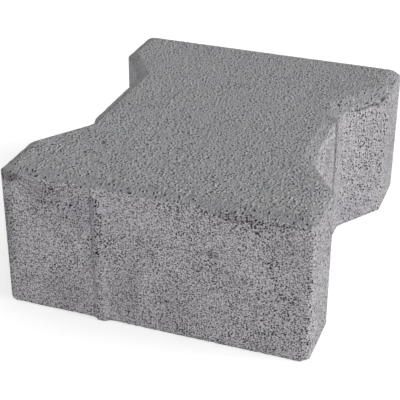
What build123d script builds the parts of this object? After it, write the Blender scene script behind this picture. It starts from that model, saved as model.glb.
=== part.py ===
from build123d import *
import os

# Double-T interlocking paving stone: one block of dry concrete, pressed in a steel mould
# in a single stroke. Origin at the middle of the underside, +Z up, millimetres.
# The stone's long way runs along Y. Its bed face is flat, and its wearing face, on top,
# has a bevelled edge all round. Spacer nibs on the walls keep the joint for the sand.

# Overall size, without the nibs
stone_length = 200.0
stone_width = 165.0
stone_thickness = 80.0

# Plan outline: two heads joined by a waist, with a sloped shoulder between them
head_length = 35.5
shoulder_length = 29.0
notch_depth = 19.5

# Rounding of the upright corners, as the mould is cut
head_corner_radius = 3.0
shoulder_corner_radius = 4.0
waist_corner_radius = 6.0

# Bevel of the wearing face: how far it runs in, and how far it drops
bevel_run = 6.0
bevel_drop = 3.0

# Spacer nibs: upright ribs that fade into the wall just under the bevel
nib_flank = 1.8
nib_nose_radius = 1.0
nib_top_gap = 1.5
nib_fade = 4.0
nib_root = 1.0
end_nib_width = 7.5
end_nib_projection = 2.5
end_nib_offset = 28.0
waist_nib_width = 27.5
waist_nib_projection = 1.5
waist_nib_offset = 2.3

# Two places this close are the same
tolerance = 0.01

# Where the walls stand
end_wall = stone_length / 2
head_wall = stone_width / 2
waist_wall = head_wall - notch_depth
shoulder_start = end_wall - head_length
waist_start = shoulder_start - shoulder_length
nib_height = stone_thickness - bevel_drop - nib_top_gap


def spacer_nib(width, projection):
    """One nib, standing on XY with its wall on the XZ plane and its nose towards +Y."""
    half_base = width / 2
    half_nose = half_base - nib_flank
    rise = nib_fade / projection
    with BuildPart() as nib:
        # Plan: the flanks slope from the wall to the nose, and the root sits in the wall
        with BuildSketch() as plan:
            with BuildLine():
                Polyline(
                    (-half_base, -nib_root),
                    (-half_base, 0),
                    (-half_nose, projection),
                    (half_nose, projection),
                    (half_base, 0),
                    (half_base, -nib_root),
                    close=True,
                )
            make_face()
            fillet(plan.vertices().group_by(Axis.Y)[-1], nib_nose_radius)
        extrude(amount=nib_height + nib_root * rise)
        # Side view: the nose leans back into the wall over the last few millimetres
        with BuildSketch(Plane.YZ):
            with BuildLine():
                Polyline(
                    (-nib_root, 0),
                    (projection, 0),
                    (projection, nib_height - nib_fade),
                    (-nib_root, nib_height + nib_root * rise),
                    close=True,
                )
            make_face()
        extrude(amount=width, both=True, mode=Mode.INTERSECT)
    return nib.part


end_nib = spacer_nib(end_nib_width, end_nib_projection)
waist_nib = spacer_nib(waist_nib_width, waist_nib_projection)

# The nibs come in pairs, half a turn apart, so the stone can be laid either way round
end_seats = []
waist_seats = []
for way in (1, -1):
    end_seats.append(
        Plane(origin=(-way * end_nib_offset, -way * end_wall, 0), x_dir=(-way, 0, 0), z_dir=(0, 0, 1))
    )
    waist_seats.append(
        Plane(origin=(way * waist_wall, -way * waist_nib_offset, 0), x_dir=(0, -way, 0), z_dir=(0, 0, 1))
    )


with BuildPart() as paving_stone:
    # One side of the outline, from end to end, and its mirror image
    with BuildSketch():
        with BuildLine():
            Polyline(
                (0, -end_wall),
                (head_wall, -end_wall),
                (head_wall, -shoulder_start),
                (waist_wall, -waist_start),
                (waist_wall, waist_start),
                (head_wall, shoulder_start),
                (head_wall, end_wall),
                (0, end_wall),
            )
            mirror(about=Plane.YZ)
        make_face()
    extrude(amount=stone_thickness)

    # Bevel round the wearing face, wider than it is deep
    wearing_face = paving_stone.faces().sort_by(Axis.Z)[-1]
    chamfer(wearing_face.edges(), length=bevel_run, length2=bevel_drop, reference=wearing_face)

    # Upright corners, found by how far along the stone they stand
    corner_radii = {
        end_wall: head_corner_radius,
        shoulder_start: shoulder_corner_radius,
        waist_start: waist_corner_radius,
    }
    for distance, radius in corner_radii.items():
        uprights = paving_stone.edges().filter_by(Axis.Z)
        corners = uprights.filter_by(lambda edge: abs(abs(edge.center().Y) - distance) < tolerance)
        fillet(corners, radius)

    with Locations(*end_seats):
        add(end_nib)
    with Locations(*waist_seats):
        add(waist_nib)

paving_stone.part.label = "paving_stone"

os.makedirs("parts", exist_ok=True)
export_step(paving_stone.part, "parts/paving_stone.step")
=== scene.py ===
import math

import bmesh
import bpy
from mathutils import Matrix, Vector


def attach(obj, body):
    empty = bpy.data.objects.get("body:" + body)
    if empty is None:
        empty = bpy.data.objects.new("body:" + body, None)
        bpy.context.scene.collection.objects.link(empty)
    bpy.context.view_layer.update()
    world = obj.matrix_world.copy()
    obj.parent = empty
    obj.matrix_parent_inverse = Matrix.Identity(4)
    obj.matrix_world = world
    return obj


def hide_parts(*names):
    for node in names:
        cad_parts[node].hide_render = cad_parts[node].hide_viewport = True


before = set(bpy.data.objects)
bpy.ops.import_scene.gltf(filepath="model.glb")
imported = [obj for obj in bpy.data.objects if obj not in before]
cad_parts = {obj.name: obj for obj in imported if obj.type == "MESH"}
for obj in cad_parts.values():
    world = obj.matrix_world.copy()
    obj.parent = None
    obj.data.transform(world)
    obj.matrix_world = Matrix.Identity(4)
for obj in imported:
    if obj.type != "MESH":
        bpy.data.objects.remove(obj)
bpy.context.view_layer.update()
scene = bpy.context.scene

# The paving stone: one block of lean, almost dry concrete, pressed and shaken in a steel mould.
# The cast shape gets what pressing and handling leave on it: pits where the sand didn't close up,
# crumbled arrises, knocked corners and soft waves. The bed face, which nobody sees, is kept coarse.
mesh_step = 0.00100
most_triangles = 196000
bed_level = 0.0012
same_point = 1e-6

# Where the stone is knocked or worn: a place on its arris, the way the lost piece lay, how deep the
# break goes in under that place, and how far along the arris it reaches
knocks = [
    ((0.0820, 0.0995, 0.0770), (0.50, 0.45, 0.75), 0.0020, 0.012),
    ((0.0727, 0.0500, 0.0770), (0.50, -0.34, 0.80), 0.0019, 0.028),
    ((0.0820, 0.0640, 0.0770), (0.70, -0.20, 0.60), 0.0020, 0.008),
    ((0.0820, -0.0995, 0.0000), (0.55, -0.55, -0.62), 0.0018, 0.014),
    ((-0.0727, -0.0500, 0.0770), (-0.70, 0.47, 0.53), 0.0009, 0.026),
]


def add_node(tree, kind, inputs=None, **settings):
    """One node of a tree. Each input takes a plain value or another node's output."""
    node = tree.nodes.new(kind)
    for name, value in settings.items():
        setattr(node, name, value)
    for key, value in (inputs or {}).items():
        live = [socket for socket in node.inputs if socket.enabled]
        socket = live[key] if isinstance(key, int) else next(s for s in live if s.name == key)
        if isinstance(value, bpy.types.NodeSocket):
            tree.links.new(value, socket)
        else:
            socket.default_value = value
    return node


def out(node, name=None):
    """The output of that name that a node has in use, or its first one."""
    return next(s for s in node.outputs if s.enabled and name in (None, s.name))


def number(tree, operation, *values):
    """The result of a Math node."""
    return out(add_node(tree, "ShaderNodeMath", dict(enumerate(values)), operation=operation))


def vector(tree, operation, *values):
    """The result of a Vector Math node. A length and a dot product come out as a number."""
    return out(add_node(tree, "ShaderNodeVectorMath", dict(enumerate(values)), operation=operation))


def noise(tree, at, size, detail=2.0, name="Fac"):
    """Cloudy noise with lumps of about that size."""
    inputs = {"Vector": at, "Scale": number(tree, "DIVIDE", 1.0, size), "Detail": detail}
    return out(add_node(tree, "ShaderNodeTexNoise", inputs), name)


def ramp(tree, value, low, high, start=0.0, end=1.0):
    """A soft step: start below low, end above high."""
    inputs = {"Value": value, "From Min": low, "From Max": high, "To Min": start, "To Max": end}
    return out(add_node(tree, "ShaderNodeMapRange", inputs, interpolation_type="SMOOTHSTEP"))


def group_sockets(tree, given, made):
    """Name a group's inputs, with their first values, and its outputs."""
    for name, value in given.items():
        kind = {type(None): "Geometry", float: "Float", tuple: "Vector"}[type(value)]
        socket = tree.interface.new_socket(name, in_out="INPUT", socket_type="NodeSocket" + kind)
        if value is not None:
            socket.default_value = value
    for name, kind in made.items():
        tree.interface.new_socket(name, in_out="OUTPUT", socket_type="NodeSocket" + kind)
    return tree.nodes.new("NodeGroupInput").outputs, tree.nodes.new("NodeGroupOutput").inputs


def casting_relief():
    """Geometry Nodes that press what the casting and its handling left into the surface."""
    tree = bpy.data.node_groups.new("casting_relief", "GeometryNodeTree")
    given, result = group_sockets(tree, {
        "Geometry": None,
        "Break Size": 0.0038,
        "Break Roughness": 0.0016,
        "Break Softness": 0.0005,
        "Wave Size": 0.042,
        "Wave Depth": 0.00022,
        "Grain Size": 0.0019,
        "Grain Depth": 0.00020,
        "Open Mix Size": 0.026,
        "Pit Spacing": 0.0034,
        "Pit Depth": 0.0007,
        "Crumble Size": 0.0042,
        "Crumble Depth": 0.0007,
    }, {"Geometry": "Geometry"})
    place = out(add_node(tree, "GeometryNodeInputPosition"))
    normal = out(add_node(tree, "GeometryNodeInputNormal"))

    # Knocked corners: what stands beyond each break's plane is gone, and the break is rough. It
    # fades out over the last third of its reach
    body = given["Geometry"]
    rough = number(tree, "SUBTRACT", noise(tree, place, given["Break Size"], 4.0), 0.5)
    rough = number(tree, "MULTIPLY", rough, given["Break Roughness"])
    for spot, lost, deep, reach in knocks:
        way = Vector(lost).normalized()
        apart = vector(tree, "SUBTRACT", place, spot)
        beyond = vector(tree, "DOT_PRODUCT", apart, tuple(way))
        beyond = number(tree, "ADD", number(tree, "ADD", beyond, deep), rough)
        lost_depth = number(tree, "SMOOTH_MAX", beyond, 0.0, given["Break Softness"])
        fade = ramp(tree, vector(tree, "LENGTH", apart), reach * 0.7, reach, 1.0, 0.0)
        lost_depth = number(tree, "MULTIPLY", lost_depth, fade)
        offset = vector(tree, "SCALE", tuple(-way), lost_depth)
        body = out(add_node(tree, "GeometryNodeSetPosition", {"Geometry": body, "Offset": offset}))

    # How far a point stands out from its surroundings: nothing on a flat, most on an arris, and
    # less than nothing in an inside corner
    blurred = {"Value": place, "Iterations": 3}
    around = out(add_node(tree, "GeometryNodeBlurAttribute", blurred, data_type="FLOAT_VECTOR"))
    proud = vector(tree, "DOT_PRODUCT", vector(tree, "SUBTRACT", place, around), normal)
    arris = ramp(tree, proud, 0.00012, 0.00045)
    # The inside corners, which the finish darkens as painted shade
    crease_shade = ramp(tree, proud, -0.00010, -0.00034)

    # Pits: some cells of a cellular pattern, and more of them where the mix lay open
    pit_scale = number(tree, "DIVIDE", 1.0, given["Pit Spacing"])
    cells = add_node(tree, "ShaderNodeTexVoronoi", {"Vector": place, "Scale": pit_scale})
    lot = out(add_node(tree, "FunctionNodeSeparateColor", {0: out(cells, "Color")}), "Red")
    share = ramp(tree, noise(tree, place, given["Open Mix Size"]), 0.42, 0.68, 0.05, 0.40)
    bowl = ramp(tree, out(cells, "Distance"), 0.10, 0.40, 1.0, 0.0)
    pit = number(tree, "MULTIPLY", number(tree, "LESS_THAN", lot, share), bowl)

    # Crumbling: chips along the arrises, uneven in depth
    chips = ramp(tree, noise(tree, place, given["Crumble Size"], 4.0), 0.48, 0.70)
    crumble = number(tree, "MULTIPLY", arris, chips)

    # Everything is pressed inwards, so the stone stays inside its cast shape
    depth = 0.0
    for most, amount in (
        (given["Pit Depth"], pit),
        (given["Crumble Depth"], crumble),
        (given["Grain Depth"], noise(tree, place, given["Grain Size"])),
        (given["Wave Depth"], noise(tree, place, given["Wave Size"], 1.0)),
    ):
        depth = number(tree, "MULTIPLY_ADD", most, amount, depth)
    inward = vector(tree, "SCALE", normal, number(tree, "MULTIPLY", depth, -1.0))
    pressed = out(add_node(tree, "GeometryNodeSetPosition", {"Geometry": body, "Offset": inward}))

    # What the finish needs to know about each point
    for name, value in (("pit", pit), ("worn", crumble), ("crease_shade", crease_shade)):
        inputs = {"Geometry": pressed, "Name": name, "Value": value}
        kept = add_node(tree, "GeometryNodeStoreNamedAttribute", inputs, data_type="FLOAT", domain="POINT")
        pressed = out(kept)
    smooth = out(add_node(tree, "GeometryNodeSetShadeSmooth", {"Geometry": pressed}))
    whole = out(add_node(tree, "GeometryNodeRealizeInstances", {"Geometry": smooth}))
    finished = add_node(tree, "GeometryNodeSetMaterial", {"Geometry": whole, "Material": pressed_concrete})
    tree.links.new(out(finished), result["Geometry"])
    return tree


def pressed_grain():
    """Shader group: the sand and the holes of pressed concrete, as tone with a painted highlight next to
    each pore, hollow mask and height.
    """
    tree = bpy.data.node_groups.new("pressed_grain", "ShaderNodeTree")
    given, result = group_sockets(tree, {
        "Place": (0.0, 0.0, 0.0),
        "Sand Size": 0.0012,
        "Sand Height": 1.0,
        "Gap Spacing": 0.0013,
        "Gap Depth": 1.0,
        "Pore Spacing": 0.0019,
        "Openness": 0.5,
        "Paleness": 0.5,
        # The last two place a painted highlight next to each pore and set its strength
        "Grain Beside": (0.0, 0.0, 0.0),
        "Grain Highlight Strength": 0.5,
    }, {"Tone": "Float", "Hollow": "Float", "Height": "Float"})
    place = given["Place"]

    # Sand: rounded lumps, some of them paler than the rest
    lumps = number(tree, "MULTIPLY", noise(tree, place, given["Sand Size"], 0.0), given["Sand Height"])
    tone_size = number(tree, "MULTIPLY", given["Gap Spacing"], 0.62)
    tone = ramp(tree, noise(tree, place, tone_size, 0.0, "Color"), 0.40, 0.60)
    tone = number(tree, "MULTIPLY_ADD", number(tree, "SUBTRACT", tone, 0.5), given["Paleness"], 0.5)

    def holes(at, spacing, unevenness, rim, edge):
        """One hole to a cell: the lot each cell drew, and a mask. Rim and edge are shares of a cell."""
        scale = number(tree, "DIVIDE", 1.0, given[spacing])
        inputs = {"Vector": at, "Scale": scale, "Randomness": unevenness}
        cells = add_node(tree, "ShaderNodeTexVoronoi", inputs)
        lot = out(add_node(tree, "ShaderNodeSeparateColor", {0: out(cells, "Color")}), "Green")
        return lot, ramp(tree, out(cells, "Distance"), rim, edge, 1.0, 0.0)

    # Gaps between the grains, each as deep as chance made it
    lot, gap = holes(place, "Gap Spacing", 0.7, 0.30, 0.38)
    for share in (
        ramp(tree, lot, 0.10, 0.60, 0.10, 1.0),
        ramp(tree, given["Openness"], 0.0, 0.8, 0.45, 1.0),
        given["Gap Depth"],
    ):
        gap = number(tree, "MULTIPLY", gap, share)

    # Fewer, wider pores. The pale speck next to each one is a painted highlight: the lit side of a grain,
    # set off towards the side lamp
    open_share = ramp(tree, given["Openness"], 0.35, 1.5, 0.0, 0.85)

    def pores(at):
        lot, pore = holes(at, "Pore Spacing", 1.0, 0.26, 0.34)
        return number(tree, "MULTIPLY", pore, number(tree, "LESS_THAN", lot, open_share))

    hollow = number(tree, "MAXIMUM", gap, pores(place))
    grain_highlight = pores(vector(tree, "SUBTRACT", place, given["Grain Beside"]))
    tone = number(tree, "MULTIPLY_ADD", grain_highlight, given["Grain Highlight Strength"], tone)

    tree.links.new(tone, result["Tone"])
    tree.links.new(hollow, result["Hollow"])
    tree.links.new(number(tree, "MULTIPLY_ADD", hollow, -0.6, lumps), result["Height"])
    return tree


def local_patch():
    """Shader group: a mask of one place on the stone, with a ragged edge."""
    tree = bpy.data.node_groups.new("local_patch", "ShaderNodeTree")
    given, result = group_sockets(tree, {
        "Place": (0.0, 0.0, 0.0),
        "Centre": (0.0, 0.0, 0.0),
        "Reach": (0.01, 0.01, 0.01),
        "Ragged": 0.006,
        "Ragged Size": 0.008,
    }, {"Mask": "Float"})
    shift = noise(tree, given["Place"], given["Ragged Size"], 3.0, "Color")
    shift = vector(tree, "SUBTRACT", shift, (0.5, 0.5, 0.5))
    shift = vector(tree, "SCALE", shift, given["Ragged"])
    away = vector(tree, "SUBTRACT", vector(tree, "ADD", given["Place"], shift), given["Centre"])
    far = vector(tree, "LENGTH", vector(tree, "DIVIDE", away, given["Reach"]))
    tree.links.new(ramp(tree, far, 0.45, 1.1, 1.0, 0.0), result["Mask"])
    return tree


def concrete_material():
    """Grey pressed concrete: the wearing face is close and neutral, the mould faces open and warmer."""
    wall_grey = (0.338, 0.328, 0.342, 1.0)
    side_grey = (0.332, 0.322, 0.337, 1.0)
    top_grey = (0.410, 0.410, 0.421, 1.0)
    end_bevel_grey = (0.290, 0.290, 0.298, 1.0)
    notch_bevel_grey = (0.310, 0.310, 0.318, 1.0)
    cloud_grey = (0.20, 0.19, 0.205, 1.0)
    # Nearly black: painted shade inside the holes
    hole_shade = (0.020, 0.018, 0.020, 1.0)
    dark = (0.075, 0.070, 0.075, 1.0)
    pale = (0.50, 0.485, 0.50, 1.0)
    violet = (0.25, 0.23, 0.30, 1.0)
    dimmed = (0.70, 0.70, 0.70, 1.0)
    raised = (1.6, 1.6, 1.6, 1.0)

    material = bpy.data.materials.new("pressed_concrete")
    material.use_nodes = True
    tree = material.node_tree
    tree.nodes.clear()
    grain = pressed_grain()
    patch = local_patch()

    # Which face a point is on, told by the way the surface faces
    place = out(add_node(tree, "ShaderNodeTexCoord"), "Object")
    normal = out(add_node(tree, "ShaderNodeNewGeometry"), "Normal")
    facing = add_node(tree, "ShaderNodeSeparateXYZ", {0: normal})
    on_top = ramp(tree, out(facing, "Z"), 0.50, 0.78)
    bevel = number(tree, "MULTIPLY", on_top, ramp(tree, out(facing, "Z"), 0.925, 0.960, 1.0, 0.0))
    end_bevel = number(tree, "GREATER_THAN", number(tree, "ABSOLUTE", out(facing, "Y")), 0.30)
    sideways = number(tree, "ABSOLUTE", out(facing, "X"))

    def blend(factor, first, second, data_type="RGBA", **settings):
        inputs = {0: factor, 1: first, 2: second}
        return out(add_node(tree, "ShaderNodeMix", inputs, data_type=data_type, **settings))

    def on_sides(elsewhere, there):
        """A value that is another one on the walls that face sideways."""
        return ramp(tree, sideways, 0.3, 0.8, elsewhere, there)

    def on_bevel(elsewhere, there):
        return ramp(tree, bevel, 0.0, 1.0, elsewhere, there)

    def spot(centre, reach, ragged=0.006, ragged_size=0.008):
        inputs = {"Place": place, "Centre": centre, "Reach": reach}
        inputs.update({"Ragged": ragged, "Ragged Size": ragged_size})
        return out(add_node(tree, "ShaderNodeGroup", inputs, node_tree=patch))

    # Where the mould faces lie open: by chance, on the side walls, and in some places of their own
    open_places = [
        ((0.066, -0.100, 0.018), (0.028, 0.010, 0.024)),
        ((0.066, -0.100, 0.014), (0.016, 0.010, 0.014)),
        ((-0.066, -0.100, 0.026), (0.020, 0.010, 0.018)),
        ((0.050, -0.100, 0.072), (0.036, 0.010, 0.007)),
        ((0.074, 0.052, 0.036), (0.014, 0.020, 0.022)),
        ((0.074, 0.052, 0.072), (0.014, 0.020, 0.008)),
        ((0.067, 0.042, 0.016), (0.010, 0.012, 0.014)),
    ]
    openness = ramp(tree, noise(tree, place, 0.022, 3.0), 0.38, 0.66, 0.34, 0.76)
    nests = ramp(tree, noise(tree, place, 0.0055, 2.0), 0.40, 0.66, 0.0, 0.34)
    openness = number(tree, "ADD", openness, nests)
    openness = number(tree, "ADD", openness, on_sides(0.0, 0.32))
    for centre, reach in open_places:
        openness = number(tree, "MULTIPLY_ADD", spot(centre, reach), 0.26, openness)

    # Torn places, most of them along the arrises, where the holes stand close and dark
    torn = [
        ((0.0285, -0.1, 0.0762), (0.006, 0.010, 0.0018)),
        ((0.0355, -0.1, 0.0748), (0.006, 0.010, 0.0018)),
        ((0.0440, -0.1, 0.0755), (0.016, 0.010, 0.0020)),
        ((0.0440, -0.1, 0.0728), (0.007, 0.010, 0.0016)),
        ((0.0515, -0.1, 0.0724), (0.006, 0.010, 0.0016)),
        ((0.0570, -0.1, 0.0744), (0.005, 0.010, 0.0018)),
        ((0.0690, -0.1, 0.0748), (0.016, 0.010, 0.0014)),
        ((0.0660, 0.0400, 0.0727), (0.006, 0.008, 0.0018)),
        ((0.0727, 0.0500, 0.0735), (0.008, 0.012, 0.0024)),
        ((0.0795, 0.0600, 0.0748), (0.003, 0.004, 0.0014)),
        ((0.0630, 0.0165, 0.0530), (0.010, 0.0036, 0.0200)),
        ((-0.0770, -0.1000, 0.0747), (0.010, 0.010, 0.0026)),
        ((-0.0545, -0.1000, 0.0715), (0.004, 0.010, 0.0040)),
        ((-0.0585, -0.1000, 0.0640), (0.006, 0.010, 0.0030)),
        ((-0.0480, -0.1000, 0.0640), (0.008, 0.010, 0.0026)),
    ]
    tear_strength = 1.1
    tear = 0.0
    for centre, reach in torn:
        tear = number(tree, "ADD", spot(centre, reach, 0.0025, 0.005), tear)
    openness = number(tree, "MULTIPLY_ADD", tear, tear_strength, openness)

    # The grain lies a little longer along the stone on the wearing face, and longer still down the
    # bevels at its ends
    along = vector(tree, "MULTIPLY", place, (1.0, 0.8, 1.0))
    down_bevel = vector(tree, "MULTIPLY", place, (1.05, 0.65, 0.65))
    top = add_node(tree, "ShaderNodeGroup", {
        "Place": blend(end_bevel, along, down_bevel, "VECTOR"),
        "Sand Size": 0.0009,
        "Sand Height": on_bevel(1.6, 0.9),
        "Gap Spacing": 0.0013,
        "Gap Depth": 0.1,
        "Pore Spacing": 0.0015,
        "Openness": number(tree, "MULTIPLY_ADD", tear, tear_strength, on_bevel(1.12, 0.90)),
        "Paleness": 0.10,
        # A painted highlight on the lamp side of each pore
        "Grain Beside": (0.0011, 0.0, 0.0),
        "Grain Highlight Strength": 1.0,
    }, node_tree=grain)
    walls = add_node(tree, "ShaderNodeGroup", {
        "Place": place,
        "Sand Size": 0.0012,
        "Sand Height": on_sides(0.6, 0.4),
        "Gap Spacing": 0.0013,
        "Gap Depth": on_sides(1.0, 0.6),
        "Pore Spacing": 0.0018,
        "Openness": openness,
        "Paleness": on_sides(1.0, 0.7),
        # A painted highlight on the lamp side of each pore
        "Grain Beside": (0.0006, 0.0008, 0.0004),
        "Grain Highlight Strength": 0.35,
    }, node_tree=grain)
    tone, hollow, height = (
        blend(on_top, out(walls, name), out(top, name), "FLOAT") for name in ("Tone", "Hollow", "Height")
    )
    height = number(tree, "MULTIPLY", height, ramp(tree, on_top, 0.0, 1.0, 0.5, 1.0))

    # The greys: each face has its own, which the grain dims or raises
    base = blend(on_sides(0.0, 1.0), wall_grey, side_grey)
    base = blend(on_top, base, top_grey)
    base = blend(bevel, base, blend(end_bevel, notch_bevel_grey, end_bevel_grey))
    darker = blend(1.0, base, dimmed, blend_type="MULTIPLY")
    lighter = blend(1.0, base, raised, blend_type="MULTIPLY")
    grained = blend(tone, darker, lighter)

    # The mould faces are a little cloudy, and the wearing face is even
    cloud = ramp(tree, noise(tree, place, 0.024, 4.0), 0.42, 0.66, 0.0, 0.20)
    cloud = number(tree, "MULTIPLY", cloud, number(tree, "SUBTRACT", 1.0, on_top))
    stained = blend(cloud, grained, cloud_grey)

    # Marks of the mould and the paste, and some painted shade: a place, how far it reaches, how ragged it
    # is, its strength and its colour
    marks = [
        ((-0.034, -0.100, 0.062), (0.022, 0.010, 0.014), 0.010, 0.22, violet),
        ((-0.011, -0.100, 0.063), (0.026, 0.010, 0.011), 0.008, 0.20, pale),
        ((-0.063, -0.100, 0.038), (0.016, 0.010, 0.009), 0.008, 0.16, pale),
        ((0.046, -0.100, 0.047), (0.026, 0.010, 0.0045), 0.004, 0.18, pale),
        ((0.001, -0.100, 0.024), (0.0045, 0.010, 0.022), 0.003, 0.14, pale),
        ((0.038, -0.100, 0.022), (0.0045, 0.010, 0.022), 0.003, 0.12, pale),
        ((0.007, -0.100, 0.0515), (0.029, 0.010, 0.0010), 0.0025, 0.24, dark),
        ((0.0317, -0.100, 0.0520), (0.0040, 0.010, 0.0030), 0.003, 0.42, dark),
        ((-0.0105, -0.100, 0.024), (0.0040, 0.010, 0.020), 0.003, 0.20, dark),
        ((0.013, -0.100, 0.021), (0.014, 0.010, 0.016), 0.012, 0.10, dark),
        ((-0.049, -0.100, 0.015), (0.016, 0.010, 0.013), 0.012, 0.12, dark),
        ((-0.082, -0.100, 0.046), (0.0070, 0.012, 0.034), 0.004, 0.34, dark),
        ((-0.0560, -0.100, 0.0690), (0.016, 0.010, 0.008), 0.010, 0.18, dark),
        ((-0.0770, -0.100, 0.0745), (0.010, 0.010, 0.0032), 0.003, 0.62, dark),
        # The next two marks are painted shade: the thin dark crease along the left foot of the front nib
        ((-0.0322, -0.100, 0.0600), (0.0010, 0.010, 0.026), 0.0008, 0.36, dark),
        ((-0.0322, -0.100, 0.0200), (0.0010, 0.010, 0.030), 0.0008, 0.22, dark),
        ((0.0420, -0.100, 0.0757), (0.0180, 0.010, 0.0016), 0.0050, 0.34, dark),
        ((0.0450, -0.100, 0.0733), (0.0120, 0.010, 0.0016), 0.0050, 0.50, dark),
        ((0.0700, -0.100, 0.0750), (0.0140, 0.010, 0.0014), 0.0050, 0.22, dark),
        ((0.0727, 0.0500, 0.0732), (0.0120, 0.018, 0.0012), 0.0024, 0.62, dark),
        ((0.0795, 0.0600, 0.0746), (0.0024, 0.0030, 0.0013), 0.0010, 0.95, dark),
        # Painted shade: the shoulder wall darker towards its foot
        ((0.0720, 0.0480, 0.0060), (0.0160, 0.022, 0.0130), 0.0080, 0.22, violet),
        # The next two marks are painted shade in the inside corner next to the right waist nib, with dark
        # open pores in it; the second is one dark pit there
        ((0.0630, 0.0165, 0.0500), (0.010, 0.0054, 0.046), 0.003, 0.52, dark),
        ((0.0630, 0.0162, 0.0587), (0.010, 0.0030, 0.0030), 0.002, 0.80, dark),
    ]
    finest_ragged = 0.004
    for centre, reach, ragged, strength, colour in marks:
        mask = spot(centre, reach, ragged, max(ragged, finest_ragged))
        stained = blend(number(tree, "MULTIPLY", mask, strength), stained, colour)

    # Painted shade: holes are nearly black, as the shade inside them, and pits and inside corners are
    # darkened less, by a share each. Crumbled edges darken by a share too
    for name, share in (("pit", 0.40), ("crease_shade", 0.25), ("worn", 0.22)):
        mask = out(add_node(tree, "ShaderNodeAttribute", attribute_name=name), "Fac")
        hollow = number(tree, "MAXIMUM", hollow, number(tree, "MULTIPLY", mask, share))
    pitted = blend(hollow, stained, hole_shade)

    bump = add_node(tree, "ShaderNodeBump", {"Strength": 1.0, "Distance": 0.0027, "Height": height})
    surface = add_node(tree, "ShaderNodeBsdfPrincipled", {"Base Color": pitted, "Normal": out(bump)})
    tree.links.new(ramp(tree, tone, 0.0, 1.0, 0.98, 0.86), surface.inputs["Roughness"])
    surface.inputs["Specular IOR Level"].default_value = 0.3
    result = add_node(tree, "ShaderNodeOutputMaterial")
    tree.links.new(out(surface), result.inputs["Surface"])
    return material


def settle(piece):
    """Make what a piece's modifiers give its plain mesh."""
    graph = bpy.context.evaluated_depsgraph_get()
    mesh = bpy.data.meshes.new_from_object(piece.evaluated_get(graph), depsgraph=graph)
    piece.modifiers.clear()
    piece.data = mesh
    return mesh


def count_triangles(mesh):
    return sum(len(face.vertices) - 2 for face in mesh.polygons)


pressed_concrete = concrete_material()
shell = bmesh.new()
shell.from_mesh(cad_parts["paving_stone"].data)
bmesh.ops.remove_doubles(shell, verts=shell.verts, dist=same_point)
cast_shape = bpy.data.meshes.new("cast_shape")
shell.to_mesh(cast_shape)
shell.free()
stone = bpy.data.objects.new("stone", cast_shape)
scene.collection.objects.link(stone)
evening = stone.modifiers.new("even_mesh", "REMESH")
evening.mode = "VOXEL"
evening.voxel_size = mesh_step
relief = stone.modifiers.new("relief", "NODES")
relief.node_group = casting_relief()
mesh = settle(stone)

# Only the bed face is thinned, to bring the whole stone down to most_triangles triangles at the most.
# With a finer mesh step the bed doesn't hold enough of them for that.
bed = stone.vertex_groups.new(name="bed")
bed.add([v.index for v in mesh.vertices if v.co.z < bed_level], 1.0, "REPLACE")
triangles = count_triangles(mesh)
thinning = stone.modifiers.new("thinning", "DECIMATE")
thinning.vertex_group = "bed"
thinning.ratio = min(1.0, most_triangles / triangles)
mesh = settle(stone)
for vertex in mesh.vertices:
    vertex.co.z = max(vertex.co.z, 0.0)
print("stone triangles:", triangles, "then", count_triangles(mesh))
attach(stone, "root")
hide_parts("paving_stone")

# The floor: a plain white board under the stone, wide enough to fill the view, which keeps the
# stone's shadow. It glows a little to the camera, so that it shows white without more light.
floor_reach = 3.0
floor_glow = 0.45
floor_mesh = bpy.data.meshes.new("floor")
corners = [(x * floor_reach, y * floor_reach, 0) for x, y in ((-1, -1), (1, -1), (1, 1), (-1, 1))]
floor_mesh.from_pydata(corners, [], [(0, 1, 2, 3)])
floor = bpy.data.objects.new("floor", floor_mesh)
scene.collection.objects.link(floor)
white = bpy.data.materials.new("white_board")
white.use_nodes = True
paint = white.node_tree.nodes["Principled BSDF"]
paint.inputs["Base Color"].default_value = (0.85, 0.85, 0.85, 1.0)
paint.inputs["Roughness"].default_value = 0.9
paint.inputs["Specular IOR Level"].default_value = 0.0
paint.inputs["Emission Color"].default_value = (1.0, 1.0, 1.0, 1.0)


def seen_rays(tree):
    """The rays that look at a surface: 1 for the camera's own and for what glass or metal shows."""
    path = add_node(tree, "ShaderNodeLightPath")
    mirrored = number(tree, "MAXIMUM", out(path, "Is Glossy Ray"), out(path, "Is Transmission Ray"))
    return number(tree, "MAXIMUM", out(path, "Is Camera Ray"), mirrored)


glow = number(white.node_tree, "MULTIPLY", seen_rays(white.node_tree), floor_glow)
white.node_tree.links.new(glow, paint.inputs["Emission Strength"])
floor.data.materials.append(white)

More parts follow.
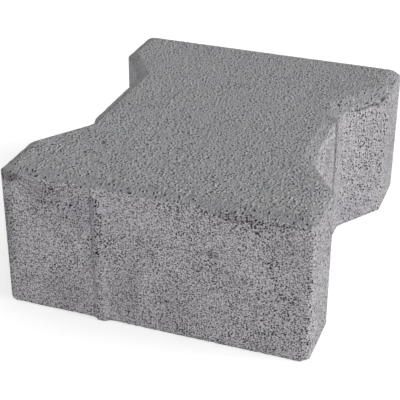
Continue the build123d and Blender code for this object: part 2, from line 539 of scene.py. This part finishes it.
# The light: a large soft lamp low on the right, a weak one in front, and a pale room all round.
# Each lamp has its power, how wide it looks in degrees, and the way to it.
for name, power, width, towards in (
    ("side_lamp", 2.25, 40.0, (0.93, 0.16, 0.40)),
    ("front_lamp", 0.92, 45.0, (0.30, -0.93, 0.25)),
):
    light = bpy.data.lights.new(name, "SUN")
    light.energy = power
    light.angle = math.radians(width)
    lamp = bpy.data.objects.new(name, light)
    lamp.rotation_mode = "QUATERNION"
    lamp.rotation_quaternion = Vector(towards).to_track_quat("Z", "Y")
    scene.collection.objects.link(lamp)
room_light = 0.5
room = bpy.data.worlds.new("pale_room")
room.use_nodes = True
sky = room.node_tree.nodes["Background"]
sky.inputs["Color"].default_value = (1.0, 1.0, 1.0, 1.0)
seen = seen_rays(room.node_tree)
strength = number(room.node_tree, "MULTIPLY_ADD", seen, 1.0 - room_light, room_light)
room.node_tree.links.new(strength, sky.inputs["Strength"])
scene.world = room

# The camera: at the photograph's viewing angle, a long lens from the front right and above.
azimuth = math.radians(19.97)
elevation = math.radians(28.92)
roll = math.radians(0.24)
distance = 0.6422
photo_side = 400
focal_pixels = 1129.0
middle = Vector((0.0, 0.0, 0.04))
aim_offset = (0.0103, 0.0137)
level = Vector((math.cos(azimuth), math.sin(azimuth), 0.0))
ahead = Vector((-math.sin(azimuth), math.cos(azimuth), 0.0))
looking = math.cos(elevation) * ahead - math.sin(elevation) * Vector((0.0, 0.0, 1.0))
upward = level.cross(looking)
right = math.cos(roll) * level + math.sin(roll) * upward
above = math.cos(roll) * upward - math.sin(roll) * level
aim = middle - aim_offset[0] * right - aim_offset[1] * above
camera = bpy.data.objects.new("camera", bpy.data.cameras.new("camera"))
camera.matrix_world = Matrix((right, above, -looking)).transposed().to_4x4()
camera.location = aim - distance * looking
camera.data.sensor_width = 36.0
camera.data.lens = focal_pixels / photo_side * camera.data.sensor_width
camera.data.clip_start = 0.01
scene.collection.objects.link(camera)
scene.camera = camera

scene.view_settings.view_transform = "Standard"
